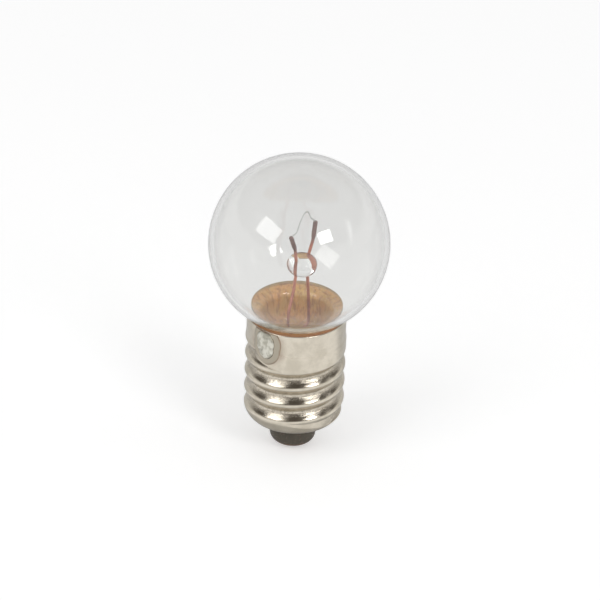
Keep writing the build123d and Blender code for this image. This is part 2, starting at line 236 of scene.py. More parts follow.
def bent_route(nodes):
    """The route of a growth tree as a curve with rounded bends."""
    corners = nodes.add("GeometryNodeMeshToCurve", None, {"Mesh": nodes.given("Route")})
    rounding = {"Curve": corners, "Count": bend_steps, "Limit Radius": True}
    rounding["Radius"] = nodes.given("Bend Radius")
    return nodes.add("GeometryNodeFilletCurve", {"mode": "POLY"}, rounding)


def tube_along(nodes, path):
    """Ends a growth tree with a round wire along path."""
    section = {"Resolution": wire_sides, "Radius": nodes.given("Wire Diameter") * 0.5}
    round_section = nodes.add("GeometryNodeCurvePrimitiveCircle", None, section)
    sweep = {"Curve": path, "Profile Curve": round_section, "Fill Caps": True}
    tube = nodes.add("GeometryNodeCurveToMesh", None, sweep)
    smooth = nodes.add("GeometryNodeSetShadeSmooth", None, {"Geometry": tube})
    whole = nodes.add("GeometryNodeRealizeInstances", None, {"Geometry": smooth})
    finish = {"Geometry": whole, "Material": nodes.given("Material")}
    coated = nodes.add("GeometryNodeSetMaterial", None, finish)
    nodes.add("NodeGroupOutput", None, {"Geometry": coated})


def grow(grown, nodes, sizes):
    """Runs a growth tree on an object with the sizes given, and keeps the result as a plain mesh."""
    growth = grown.modifiers.new("growth", "NODES")
    growth.node_group = nodes.tree
    for item in nodes.tree.interface.items_tree:
        if item.in_out == "INPUT" and item.name in sizes:
            growth[item.identifier] = sizes[item.name]
    graph = bpy.context.evaluated_depsgraph_get()
    mesh = bpy.data.meshes.new_from_object(grown.evaluated_get(graph), depsgraph=graph)
    grown.modifiers.remove(growth)
    grown.data = mesh
    mesh.name = grown.name
    return grown


def grow_wire(name, places, nodes, sizes):
    """Runs a growth tree along places in the leads' plane."""
    route = bpy.data.meshes.new(name)
    corners = [in_lead_plane(*place) * mm for place in places]
    route.from_pydata(corners, [(i, i + 1) for i in range(len(corners) - 1)], [])
    grown = bpy.data.objects.new(name, route)
    bpy.context.scene.collection.objects.link(grown)
    return grow(grown, nodes, sizes)


copper_wire, nodes = new_finish("copper sheath")
stains = nodes.grain(0.9, 4, 0.65)
worn = nodes.between(stains, 0.4, 0.66)
oxidised = nodes.past(nodes.part(nodes.place(), 2), flame_band) * oxide_share
colour = nodes.blend(worn, copper, copper_dull)
colour = nodes.blend(oxidised, colour, copper_oxide)
coat(
    nodes,
    Base_Color=colour,
    Metallic=0.6,
    Roughness=0.34 + 0.2 * stains,
    Normal=nodes.bump(nodes.grain(drawing_line, 2, 0.5, (1, 1, 6)), 0.005),
)

wire_growth = new_growth("wire along a route", "Route", ["Wire Diameter", "Bend Radius"])
tube_along(wire_growth, bent_route(wire_growth))

lead_sizes = {"Wire Diameter": lead_diameter * mm, "Bend Radius": lead_bend * mm}
lead_sizes["Material"] = copper_wire
for name, route in (("side_lead", side_route), ("centre_lead", centre_route)):
    lead = grow_wire(name + "_wire", route, wire_growth, lead_sizes)
    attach(lead, "root")
    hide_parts(name)

# Clamps
# The inner end of each lead, rolled flat and folded over the filament's leg. The fold leaves a
# slit along one side, and the flame of the sealing machine has left it darker than the wire.
clamp_length = 1.8
clamp_width = 0.42
clamp_thickness = 0.34
clamp_overhang = 0.1
clamp_slit_depth = 0.16
clamp_slit_turn = 0.13
clamp_squareness = 3
clamp_points = 32
clamp_sections = [
    (-1.0, 0.0, 1.0),
    (-0.9, 0.5, 1.0),
    (-0.8, 1.0, 0.98),
    (-0.55, 1.0, 1.0),
    (-0.3, 1.0, 0.96),
    (-0.1, 1.0, 1.0),
    (-0.03, 1.0, 0.93),
    (0.0, 1.0, 0.76),
]


def clamp(name, route):
    """A folded clamp, which turns from the round wire into a slit oval.

    Each of its sections says how far along the clamp it is, how flat and how full.
    """
    tip = in_lead_plane(*route[0])
    way = (tip - in_lead_plane(*route[1])).normalized()
    across = in_lead_plane(0, 0, 1)
    along = way.cross(across).normalized()
    end = tip + way * clamp_overhang
    wire_radius = lead_diameter / 2
    points = []
    for place, flat, full in clamp_sections:
        middle = end + way * (place * clamp_length)
        for i in range(clamp_points):
            turn = 2 * pi * i / clamp_points
            corner = abs(cos(turn)) ** clamp_squareness + abs(sin(turn)) ** clamp_squareness
            square = corner ** (-1 / clamp_squareness) * full
            wide = (1 - flat) * wire_radius + flat * square * clamp_width / 2
            thick = (1 - flat) * wire_radius + flat * square * clamp_thickness / 2
            side = wide * cos(turn)
            if abs(turn - pi) < clamp_slit_turn:
                side += flat * clamp_slit_depth
            points.append(middle + across * side + along * (thick * sin(turn)))
    faces = []
    for ring in range(len(clamp_sections) - 1):
        low = ring * clamp_points
        high = low + clamp_points
        for i in range(clamp_points):
            j = (i + 1) % clamp_points
            faces.append((low + i, low + j, high + j, high + i))
    faces.append(tuple(range(clamp_points))[::-1])
    faces.append(tuple(range(len(points) - clamp_points, len(points))))
    return piece(name, points, faces, copper_wire)


for name, route in (("side_clamp", side_route), ("centre_clamp", centre_route)):
    fold = clamp(name, route)
    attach(fold, "root")

# Glass bead
# A drop of clear glass, melted in a flame round both leads, which sets how far apart they stand.
# It has drawn itself round, and lies a little flatter than a ball.
bead_diameter = 2.9
bead_thickness = 2.0
bead_offset = -0.57
bead_height = 19.06
bead_tint = (0.97, 0.975, 0.97, 1)
# A much darker tint where the bead is seen edge-on: painted shade for its dark ends.
bead_edge_shade = (0.4, 0.4, 0.39, 1)
glass_shade = (0.93, 0.93, 0.925, 1)
glass_bending = 1.5
# Facing band over which the glass turns to its darker edge tint, which is painted shade.
glass_edge_shade_band = (0.56, 0.72)
bead_unevenness = 0.02
bead_waviness = 0.03
bead_wave = 0.7


def arc(radius, centre, start, stop, steps):
    """Places on a circle in the half plane of a turned form, from one angle in degrees to another."""
    angles = np.radians(np.linspace(start, stop, steps + 1))
    return [(centre[0] + radius * cos(a), centre[1] + radius * sin(a)) for a in angles]


def turned(profile, closed=False, segments=192):
    """Points and faces of a form turned about the axis. Its outside is on the right of the profile."""
    points = []
    rings = []
    for radius, height in profile:
        if radius < 1e-6:
            rings.append([len(points)] * segments)
            points.append((0, 0, height))
            continue
        rings.append(list(range(len(points), len(points) + segments)))
        for i in range(segments):
            turn = 2 * pi * i / segments
            points.append((radius * cos(turn), radius * sin(turn), height))
    faces = []
    pairs = list(zip(rings, rings[1:])) + ([(rings[-1], rings[0])] if closed else [])
    for low, high in pairs:
        for i in range(segments):
            j = (i + 1) % segments
            corners = [low[i], low[j], high[j], high[i]]
            faces.append(tuple(dict.fromkeys(corners)))
    return points, faces


def clear_glass(name, tint, edge_shade, waviness, wave_size):
    """Clear glass with the faint waves of a worked surface. It lets the lamps shine on what it holds.
    Seen edge-on it turns to a darker tint, which is painted shade for the dark rim of the glass.
    """
    material, nodes = new_finish(name)
    slant = nodes.add("ShaderNodeLayerWeight", None, {"Blend": 0.5}, "Facing")
    shader = coat(
        nodes,
        show=False,
        # Seen edge-on the colour turns to the darker tint: painted shade.
        Base_Color=nodes.blend(nodes.between(slant, *glass_edge_shade_band), tint, edge_shade),
        Roughness=0.0,
        IOR=glass_bending,
        Transmission_Weight=1.0,
        Normal=nodes.bump(nodes.grain(wave_size, 1), waviness),
    )
    shaded = nodes.add("ShaderNodeLightPath", output="Is Shadow Ray")
    open_way = nodes.add("ShaderNodeBsdfTransparent", None, {"Color": glass_shade})
    both = nodes.add("ShaderNodeMixShader", None, {0: shaded, 1: shader, 2: open_way})
    nodes.add("ShaderNodeOutputMaterial", None, {"Surface": both})
    return material


bead_rise = bead_thickness / 2
bead_flat = bead_diameter / 2 - bead_rise
profile = [(0, -bead_rise)] + arc(bead_rise, (bead_flat, 0), -90, 90, 24) + [(0, bead_rise)]
points, faces = turned(profile, segments=80)
bead_middle = in_lead_plane(bead_offset, bead_height)
bead_points = []
for x, y, z in points:
    swell = 1 - bead_unevenness * (1 + sin(1.9 * x + 1.3 * z + 0.4) * cos(1.6 * y - 0.9))
    bead_points.append(bead_middle + Vector((x, y, z)) * swell)
bead_glass = clear_glass("bead glass", bead_tint, bead_edge_shade, bead_waviness, bead_wave)
bead = piece("bead", bead_points, faces, bead_glass)
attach(bead, "root")
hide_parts("glass_bead")

# Filament
# Drawn tungsten wire, wound in a close coil on a mandrel and hung in an arch between the clamps,
# each leg gripped in its fold.
coil_diameter = 0.13
coil_pitch = 0.07
coil_wire = 0.026
coil_turn_steps = 12
arch = [
    (0.5, 22.8),
    (0.2, 23.4),
    (-0.1, 23.88),
    (-0.65, 24.4),
    (-1.02, 24.55),
    (-1.3, 24.3),
    (-1.78, 23.4),
]
leg_grip = 0.35
leg_stand = clamp_overhang + 0.12
tungsten_grey = (0.72, 0.73, 0.72, 1)
tungsten_dark = (0.5, 0.51, 0.5, 1)

filament_route = []
for (tip_out, tip_height), (out, height) in (side_route[:2], centre_route[:2]):
    way = Vector((tip_out - out, tip_height - height)).normalized()
    filament_route.append(tuple(Vector((tip_out, tip_height)) - way * leg_grip))
    filament_route.append(tuple(Vector((tip_out, tip_height)) + way * leg_stand))
filament_route = filament_route[:2] + arch + filament_route[:1:-1]

tungsten, nodes = new_finish("tungsten")
coat(
    nodes,
    Base_Color=nodes.blend(nodes.grain(0.3), tungsten_grey, tungsten_dark),
    Metallic=0.9,
    Roughness=0.5,
)

coil_growth = new_growth(
    "coil along a route", "Route", ["Coil Diameter", "Coil Pitch", "Wire Diameter", "Bend Radius"]
)
pitch = coil_growth.given("Coil Pitch")
stepping = {"Curve": bent_route(coil_growth), "Length": pitch / coil_turn_steps}
steps = coil_growth.add("GeometryNodeResampleCurve", {"mode": "LENGTH"}, stepping)
turn = coil_growth.add("GeometryNodeSplineParameter", output="Length") / pitch * (2 * pi)
radius = (coil_growth.given("Coil Diameter") - coil_growth.given("Wire Diameter")) * 0.5
tangent = coil_growth.add("GeometryNodeInputTangent")
normal = coil_growth.add("GeometryNodeInputNormal")
sideways = coil_growth.vector("CROSS_PRODUCT", {0: tangent, 1: normal})
reach = radius * turn.math("COSINE", turn)
out = coil_growth.vector("SCALE", {0: normal, "Scale": reach})
reach = radius * turn.math("SINE", turn)
aside = coil_growth.vector("SCALE", {0: sideways, "Scale": reach})
offset = coil_growth.vector("ADD", {0: out, 1: aside})
coil = coil_growth.add("GeometryNodeSetPosition", None, {"Geometry": steps, "Offset": offset})
tube_along(coil_growth, coil)

coil_sizes = {
    "Coil Diameter": coil_diameter * mm,
    "Coil Pitch": coil_pitch * mm,
    "Wire Diameter": coil_wire * mm,
    "Bend Radius": lead_bend * mm,
    "Material": tungsten,
}
filament = grow_wire("filament_coil", filament_route, coil_growth, coil_sizes)
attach(filament, "root")
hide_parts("filament")

# Glass envelope
# Clear soda-lime glass, a globe and neck blown in one piece. The foot of the neck is pinched
# round the leads, and the stub of the exhaust tube is melted shut below it.
globe_radius = 8.444
globe_centre = 21.55
glass_wall = 0.5
neck_radius = 3.7
neck_fillet = 0.6
neck_straight_end = 12.6
neck_shoulder = 2.6
seal_radius = 1.7
seal_height = 9.2
seal_rounding = 0.15
tip_radius = 0.6
tip_end = 6.6
envelope_tint = (0.86, 0.86, 0.852, 1)
# A darker tint where the envelope is seen edge-on: painted shade for its dark rim.
envelope_edge_shade = (0.74, 0.74, 0.735, 1)
envelope_waviness = 0.0015
envelope_wave = 3.5


def under_globe(radius, out):
    """Height of the underside of a ball round the globe's middle, so far out from the axis."""
    return globe_centre - sqrt(radius**2 - out**2)


def turn_below(radius, out):
    """Angle in degrees of the lower place on a circle that is so far out from its middle."""
    return -degrees(atan2(sqrt(radius**2 - out**2), out))


fillet_out = neck_radius + neck_fillet
fillet_height = under_globe(globe_radius + neck_fillet, fillet_out)
meeting = degrees(atan2(fillet_height - globe_centre, fillet_out))
shoulder_out = neck_radius - neck_shoulder
shoulder_middle = (shoulder_out, neck_straight_end)
seal_inset = seal_radius - shoulder_out
seal_turn = turn_below(neck_shoulder, seal_inset)
outside = [(0, tip_end)] + arc(tip_radius, (0, tip_end + tip_radius), -90, 0, 12)[1:]
outside += arc(seal_rounding, (tip_radius + seal_rounding, seal_height - seal_rounding), 180, 90, 4)
outside += arc(seal_rounding, (seal_radius - seal_rounding, seal_height + seal_rounding), -90, 0, 4)
outside += arc(neck_shoulder, shoulder_middle, seal_turn, 0, 24)
outside += arc(neck_fillet, (fillet_out, fillet_height), 180, 180 + meeting, 14)
outside += arc(globe_radius, (0, globe_centre), meeting, 90, 110)[1:-1]
outside += [(0, globe_centre + globe_radius)]
hollow_radius = globe_radius - glass_wall
inside = [(0, neck_straight_end - neck_shoulder + glass_wall)]
inside += arc(neck_shoulder - glass_wall, shoulder_middle, -90, 0, 24)
inside += arc(neck_fillet + glass_wall, (fillet_out, fillet_height), 180, 180 + meeting, 16)
inside += arc(hollow_radius, (0, globe_centre), meeting, 90, 100)[1:-1]
inside += [(0, globe_centre + hollow_radius)]
outer_points, outer_faces = turned(outside)
inner_points, inner_faces = turned(inside[::-1])
shift = len(outer_points)
envelope = piece(
    "envelope",
    outer_points + inner_points,
    outer_faces + [tuple(corner + shift for corner in face) for face in inner_faces],
    clear_glass("blown glass", envelope_tint, envelope_edge_shade, envelope_waviness, envelope_wave),
)
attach(envelope, "root")
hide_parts("glass_envelope")

# Screw shell
# Thin brass strip drawn into a cup, then rolled between dies to form its right-hand thread. The
# outside is plated with dull nickel, and the inside is left as bare brass.
thread_pitch = 1.814
root_radius = 4.23
crest_radius = 4.75
collar_radius = 4.68
thread_top = 11.79
collar_step_height = 0.35
shell_wall = 0.22
rim_height = 14.2
rim_rounding = 0.08
rim_margin = 0.15
groove_start_angle = 340
groove_start_height = 4.33
groove_full_turns = 3.63
groove_run_in = 0.24
groove_run_out = 0.17
groove_fading = 1.8
groove_edge = 0.014
dome_start_height = 4.7
dome_radius = 1.7
dome_cone = 60
dome_length = 2.2
cone_length = 1.6
lip_bore = 2.05
blank_segments = 256
blank_step = 0.06
nickel = (0.67, 0.615, 0.52, 1)
nickel_dull = (0.56, 0.51, 0.42, 1)
nickel_grime = (0.17, 0.14, 0.11, 1)
brass = (0.70, 0.46, 0.19, 1)
brass_tarnish = (0.42, 0.24, 0.11, 1)
flux_stain = (0.24, 0.155, 0.10, 1)
groove_side_band = (4.3, 4.6)
collar_foot_band = (11.2, 11.9)
stain_band = (1.3, 2.2)
stain_unevenness = 1.6
stain_middle = in_lead_plane(collar_radius, 12.55)


def cup_profile(inset, step):
    """Half section of the drawn cup from its lip to below its rim, moved in by inset."""
    arc_middle = (crest_radius - dome_radius, dome_start_height)
    bend = arc(dome_radius - inset, arc_middle, -dome_cone, 0, int(dome_length / step))
    slope = cos(radians(dome_cone)) / sin(radians(dome_cone))
    lip_height = bend[0][1] - (bend[0][0] - lip_bore) * slope
    cone = np.linspace((lip_bore, lip_height), bend[0], int(cone_length / step))[:-1]
    sides = []
    for height in np.arange(dome_start_height + step, rim_height - rim_margin, step):
        rise = min(max((height - thread_top) / collar_step_height, 0), 1)
        ease = rise * rise * (3 - 2 * rise)
        sides.append((crest_radius - inset - ease * (crest_radius - collar_radius), height))
    return [tuple(place) for place in cone] + bend + sides


nickel_plate, nodes = new_finish("nickel plate")
place = nodes.place()
in_groove = 1 - nodes.past(nodes.from_axis(place), groove_side_band)
in_thread = in_groove * (1 - nodes.past(nodes.part(place, 2), collar_foot_band))
clouds = nodes.grain(1.3, 3, 0.6)
speckle = nodes.grain(0.085, 3, 0.65)
grime = nodes.between(nodes.grain(0.12, 4, 0.8), 0.47, 0.58) * in_thread
colour = nodes.blend(nodes.between(clouds, 0.35, 0.7), nickel, nickel_dull)
colour = nodes.blend(grime * 0.62, colour, nickel_grime)
apart = nodes.vector("DISTANCE", {0: place, 1: stain_middle * mm}, "Value")
stained = 1 - nodes.past(apart + (clouds - 0.5) * (stain_unevenness * mm), stain_band)
colour = nodes.blend(stained * 0.5, colour, flux_stain)
coat(
    nodes,
    Base_Color=colour,
    Metallic=1.0,
    Roughness=0.14 + 0.1 * clouds + 0.2 * grime,
    Normal=nodes.bump(speckle * (0.35 + 0.65 * in_thread), 0.018),
)

bare_brass, nodes = new_finish("bare brass")
patches = nodes.grain(0.8, 4, 0.65)
coat(
    nodes,
    Base_Color=nodes.blend(nodes.between(patches, 0.35, 0.65), brass, brass_tarnish),
    Metallic=1.0,
    Roughness=0.3 + 0.2 * patches,
    Normal=nodes.bump(nodes.grain(0.12, 2), 0.008),
)

outer_profile = cup_profile(0, blank_step)
outer_rim = (collar_radius - rim_rounding, rim_height - rim_rounding)
outer_profile += arc(rim_rounding, outer_rim, 0, 90, 4)
inner_rim = (collar_radius - shell_wall + rim_rounding, rim_height - rim_rounding)
inner_profile = arc(rim_rounding, inner_rim, 90, 180, 4) + cup_profile(shell_wall, 2 * blank_step)[::-1]
points, faces = turned(outer_profile + inner_profile, closed=True, segments=blank_segments)
shell = piece("shell", points, faces)
wall_side = shell.data.attributes.new("wall side", "FLOAT", "POINT")
on_inner_side = np.arange(len(points)) >= len(outer_profile) * blank_segments
wall_side.data.foreach_set("value", on_inner_side.astype(float))

thread_sizes = {
    "Pitch": thread_pitch * mm,
    "Root Radius": root_radius * mm,
    "Groove Depth": (crest_radius - root_radius) * mm,
    "Start Turn": groove_start_angle / 360,
    "Start Height": groove_start_height * mm,
    "Full Turns": groove_full_turns,
    "Run In": groove_run_in,
    "Run Out": groove_run_out,
    "Fading": groove_fading,
    "Edge": groove_edge * mm,
    "Wall": shell_wall * mm,
}
rolling = new_growth("thread rolled into a cup", "Blank", list(thread_sizes), ("Plate", "Bare Metal"))
place = rolling.add("GeometryNodeInputPosition")
across = rolling.part(place, 0)
depth = rolling.part(place, 1)
height = rolling.part(place, 2)
radius = rolling.from_axis(place)
inner_side = rolling.add(
    "GeometryNodeInputNamedAttribute", {"data_type": "FLOAT"}, {"Name": "wall side"}
)
turn = across.math("ARCTAN2", depth, across) / (2 * pi) - rolling.given("Start Turn")
climbed = (height - rolling.given("Start Height")) / rolling.given("Pitch")
along = turn + turn.math("ROUND", climbed - turn)
fade_in = along / rolling.given("Run In") * -1
fade_out = (along - rolling.given("Full Turns")) / rolling.given("Run Out")
fade = fade_in.math("MAXIMUM", fade_in.math("MAXIMUM", fade_in, fade_out), 0.0)
full = fade.math("MAXIMUM", 1 - fade, 0.0)
off = (climbed - along) * (2 * pi)
filled = 1 - full.math("POWER", full, rolling.given("Fading"))
shape = 0.5 * (1 - off.math("COSINE", off))
groove = rolling.given("Groove Depth") * shape.math("MAXIMUM", shape, filled)
groove = groove + rolling.given("Root Radius") - rolling.given("Wall") * inner_side
# Past both ends of the groove its floor lies a metre out, where it presses nothing.
groove = groove + fade.math("GREATER_THAN", fade, 1.0)
pressed = radius.math("SMOOTH_MIN", radius, groove, rolling.given("Edge"))
scaled = rolling.vector("SCALE", {0: place, "Scale": pressed / radius})
corner = {0: rolling.part(scaled, 0), 1: rolling.part(scaled, 1), 2: height}
pressed_place = rolling.add("ShaderNodeCombineXYZ", None, corner)
pressing = {"Geometry": rolling.given("Blank"), "Position": pressed_place}
rolled_cup = rolling.add("GeometryNodeSetPosition", None, pressing)
whole = rolling.add("GeometryNodeRealizeInstances", None, {"Geometry": rolled_cup})
plating = {"Geometry": whole, "Material": rolling.given("Plate")}
plated = rolling.add("GeometryNodeSetMaterial", None, plating)
inner_face = inner_side.math("GREATER_THAN", inner_side, 0.5)
inner_metal = {"Geometry": plated, "Selection": inner_face, "Material": rolling.given("Bare Metal")}
finished = rolling.add("GeometryNodeSetMaterial", None, inner_metal)
rolling.add("NodeGroupOutput", None, {"Geometry": finished})
shell = grow(shell, rolling, {**thread_sizes, "Plate": nickel_plate, "Bare Metal": bare_brass})
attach(shell, "root")
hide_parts("screw_shell")

# Contact eyelet
# A small brass eyelet pressed into the hot glass of the insulator, which carries the centre lead
# to the contact.
flange_radius = 1.2
flange_bottom = 0.3
flange_top = 0.5
flange_rounding = 0.07
barrel_radius = 0.5
barrel_top = 3.55
eyelet_bore = 0.3

profile = [(eyelet_bore, barrel_top), (eyelet_bore, flange_bottom)]
flange_corner = (flange_radius - flange_rounding, flange_bottom + flange_rounding)
profile += arc(flange_rounding, flange_corner, -90, 0, 4)
profile += [(flange_radius, flange_top), (barrel_radius, flange_top), (barrel_radius, barrel_top)]
eyelet = piece("eyelet", *turned(profile, closed=True, segments=64), bare_brass)
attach(eyelet, "root")
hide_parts("contact_eyelet")

# Insulator
# Black glass, pressed hot into the foot of the shell so that it fills it and closes round its lip
# as a rounded button.
button_radius = 2.2
foot_radius = 1.4
foot_height = 0.42
side_height = 1.35
fill_height = 3.3
glass_black = (0.09, 0.078, 0.058, 1)
# A brown for dust, and also for a painted reflection of the floor low on the button.
glass_brown_dust_and_reflection = (0.26, 0.12, 0.06, 1)
floor_reflection_band = (0.6, 1.0)
black_glass_bending = 1.52


def cone_height(radius, inset):
    """Height of the cup's cone at a radius, on its outer face or moved in by inset."""
    cone = radians(dome_cone)
    reach = dome_radius - inset
    start = crest_radius - dome_radius + reach * cos(cone)
    return dome_start_height - reach * sin(cone) - (start - radius) * cos(cone) / sin(cone)


fill_rise = fill_height - cone_height(lip_bore, shell_wall)
fill_radius = lip_bore + fill_rise * sin(radians(dome_cone)) / cos(radians(dome_cone))
button_bulge = button_radius - foot_radius
button_drop = side_height - foot_height
profile = [(barrel_radius, fill_height), (barrel_radius, flange_top), (flange_radius, flange_top)]
profile += [(flange_radius, foot_height), (foot_radius, foot_height)]
for turn in np.radians(np.linspace(-90, 0, 16))[1:]:
    profile.append((foot_radius + button_bulge * cos(turn), side_height + button_drop * sin(turn)))
profile += [(button_radius, cone_height(button_radius, 0)), (lip_bore, cone_height(lip_bore, 0))]
profile += [(lip_bore, cone_height(lip_bore, shell_wall)), (fill_radius, fill_height)]

black_glass, nodes = new_finish("black glass")
dust = nodes.between(nodes.grain(0.3, 4, 0.7), 0.48, 0.7)
# Low on the button the glass is painted brown in patches: a painted reflection of the floor.
floor_reflection_patches = (1 - nodes.past(nodes.part(nodes.place(), 2), floor_reflection_band)) * 0.8
colour = nodes.blend(dust * 0.16, glass_black, glass_brown_dust_and_reflection)
colour = nodes.blend(floor_reflection_patches * nodes.between(nodes.grain(0.5, 2), 0.3, 0.5), colour, glass_brown_dust_and_reflection)
coat(
    nodes,
    Base_Color=colour,
    Roughness=0.2 + 0.15 * dust,
    IOR=black_glass_bending,
    Normal=nodes.bump(nodes.grain(0.8, 2), 0.03),
)
insulator = piece("insulator_button", *turned(profile, closed=True, segments=96), black_glass)
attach(insulator, "root")
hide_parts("insulator")

# Capping cement
# A paste of resin and chalk, laid in the collar and baked, which holds the glass in the shell. It
# wets the neck round its shoulder and is tan behind the glass. Where it is bare it is red-brown,
# darkened partly as painted shade from the globe above it, and near its top, where it meets the
# globe, it turns olive as painted shade.
cement_top = 14.16
cement_edge_drop = 0.06
cement_step = 12.1
meniscus_radius = 4.5
meniscus_spread = 0.34
meniscus_dish = 0.05
cement_coat = 0.5
coat_outside = 3.88
glass_wetting = 0.03
cement_wall = collar_radius - shell_wall
cement_rim = collar_radius - rim_rounding
cement_tan = (0.82, 0.44, 0.155, 1)
cement_gold = (0.77, 0.49, 0.165, 1)
cement_brown = (0.46, 0.21, 0.09, 1)
# The next colour, red-brown for the bare cement, is partly painted shade; the olive below it is painted
# shade where the cement meets the globe.
cement_red_brown_and_shade = (0.34, 0.15, 0.07, 1)
cement_pale = (0.95, 0.76, 0.45, 1)
cement_olive_shade = (0.36, 0.30, 0.19, 1)
cement_lump = 0.02
cement_ripple = 0.012
olive_shade_band = (14.38, 14.6)
bare_band = (4.33, 4.4)
off_glass_band = (8.43, 8.46)

coat_reach = neck_shoulder + cement_coat
wet_reach = neck_shoulder - glass_wetting
foot_turn = turn_below(coat_reach, seal_inset)
side_turn = turn_below(coat_reach, coat_outside - shoulder_out)
wet_turn = turn_below(wet_reach, seal_inset)
wet_globe = globe_radius - glass_wetting
wet_fillet = neck_fillet + glass_wetting
meniscus_height = under_globe(wet_globe, meniscus_radius)
meniscus_turn = degrees(atan2(meniscus_height - globe_centre, meniscus_radius))
profile = arc(coat_reach, shoulder_middle, foot_turn, side_turn, 16)
profile += [(coat_outside, cement_step), (cement_wall, cement_step)]
profile += [(cement_wall, cement_top - cement_edge_drop)]
for share in np.linspace(0, 1, 9):
    out = cement_rim + (meniscus_radius - cement_rim) * share
    rise = cement_top + (meniscus_height - cement_top) * share
    sag = 4 * meniscus_dish * share * (1 - share)
    profile.append((out - sag, rise - sag))
profile += arc(wet_globe, (0, globe_centre), meniscus_turn, meeting, 4)[1:]
profile += arc(wet_fillet, (fillet_out, fillet_height), 180 + meeting, 180, 10)[1:]
profile += arc(wet_reach, shoulder_middle, 0, wet_turn, 20)
points, faces = turned(profile, closed=True)
cement_points = []
for x, y, z in points:
    out = sqrt(x * x + y * y)
    if z > cement_top - 0.01 and out > fillet_out:
        lump = cement_lump * sin(2.6 * x + 1.9 * y) + cement_ripple * sin(9.7 * x - 8.1 * y)
        spread = meniscus_spread * ((1 + y / out) / 2) ** 2
        climb = (z - cement_top) / (meniscus_height - cement_top)
        new_out = out + spread * climb
        rise = under_globe(wet_globe, new_out) - under_globe(wet_globe, out)
        x *= new_out / out
        y *= new_out / out
        z += rise * climb + lump * (1 - climb)
    cement_points.append((x, y, z))

cement_paste, nodes = new_finish("capping cement")
place = nodes.place()
from_centre = {0: place, 1: Vector((0, 0, globe_centre * mm))}
apart = nodes.vector("DISTANCE", from_centre, "Value")
grit = nodes.grain(0.14, 4, 0.7)
runs = nodes.grain(0.34, 3, 0.6, (1, 1, 5))
patches = nodes.grain(1.5, 3, 0.6)
colour = nodes.blend(nodes.between(patches, 0.35, 0.65), cement_tan, cement_gold)
colour = nodes.blend(nodes.between(runs, 0.48, 0.64) * 0.7, colour, cement_brown)
colour = nodes.blend(nodes.between(grit, 0.56, 0.66) * 0.7, colour, cement_pale)
# Near the top, where the cement meets the globe, it turns olive: painted shade.
shaded_top = nodes.past(nodes.part(place, 2), olive_shade_band)
colour = nodes.blend(shaded_top * 0.8, colour, cement_olive_shade)
# Where the cement is bare it turns red-brown, partly as painted shade from the globe above it.
bare = nodes.past(nodes.from_axis(place), bare_band) * nodes.past(apart, off_glass_band)
colour = nodes.blend(bare * 0.9, colour, cement_red_brown_and_shade)
coat(
    nodes,
    Base_Color=colour,
    Roughness=0.2 + 0.4 * grit,
    Normal=nodes.bump(grit, 0.04),
)
cement = piece("cement_ring", cement_points, faces, cement_paste)
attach(cement, "root")
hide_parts("capping_cement")

# Contact solder
# Tin-lead solder drawn up into the eyelet round the end of the centre lead. It stands out as a
# low dome, worn flat where it has pressed on a holder's spring.
dome_edge = 0.95
dome_flat = 0.5
plug_height = 1.4
solder_bright = (0.66, 0.645, 0.57, 1)
solder_dull = (0.42, 0.405, 0.34, 1)
skirt_dull = (0.40, 0.36, 0.29, 1)
solder_pit = (0.16, 0.14, 0.115, 1)
nickel_band = (4.6, 4.65)
burnt_band = (4.7, 4.77)
skirt_band = (4.8, 4.86)

profile = [(0, 0.0), (dome_flat, 0.0)]
for turn in np.linspace(0, pi / 2, 12)[1:]:
    profile.append((dome_flat + (dome_edge - dome_flat) * sin(turn), flange_bottom * (1 - cos(turn))))
profile += [(eyelet_bore, flange_bottom), (eyelet_bore, plug_height), (0, plug_height)]

tin_solder, nodes = new_finish("tin solder")
radius = nodes.from_axis(nodes.place())
over_nickel = nodes.past(radius, nickel_band)
skirt = over_nickel * (1 - nodes.past(radius, skirt_band))
burnt = over_nickel * (1 - nodes.past(radius, burnt_band))
mottle = nodes.grain(0.5, 4, 0.6)
pits = nodes.grain(0.2, 3, 0.6)
colour = nodes.blend(nodes.between(mottle, 0.4, 0.62), solder_bright, solder_dull)
colour = nodes.blend(nodes.between(pits, 0.58, 0.7) * 0.35, colour, solder_pit)
colour = nodes.blend(skirt, colour, skirt_dull)
coat(
    nodes,
    Base_Color=nodes.blend(burnt * 0.8, colour, flux_stain),
    Metallic=1.0,
    Roughness=0.22 + 0.2 * mottle * (1 - skirt),
    Normal=nodes.bump((mottle + pits * 0.25) * (1 - skirt), 0.08),
)
contact = piece("contact_dome", *turned(profile, segments=64), tin_solder)
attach(contact, "root")
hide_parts("contact_solder")

# Side solder
# A flattened lump of the same solder that joins the side lead to the collar. Round it a thin
# skirt of solder has run out smooth over the nickel, with a stain of burnt flux at its edge.
lump_width = 1.86
lump_length = 2.85
lump_thickness = 0.36
lump_top = 14.15
skirt_reach = 0.62
skirt_thickness = 0.1
lump_fullness = 0.82
lump_unevenness = 0.07
lump_ripple = 0.04
lump_crown = 0.85
lump_squareness = 9
skirt_squareness = 3
foot_depth = 0.02
lump_rings = 26
lump_spokes = 96
lump_outline = [
    (-0.85, 0.95),
    (-1, 0.1),
    (-0.65, -0.75),
    (0, -1),
    (0.6, -0.8),
    (0.9, -0.1),
    (0.85, 0.6),
    (0.45, 0.97),
]

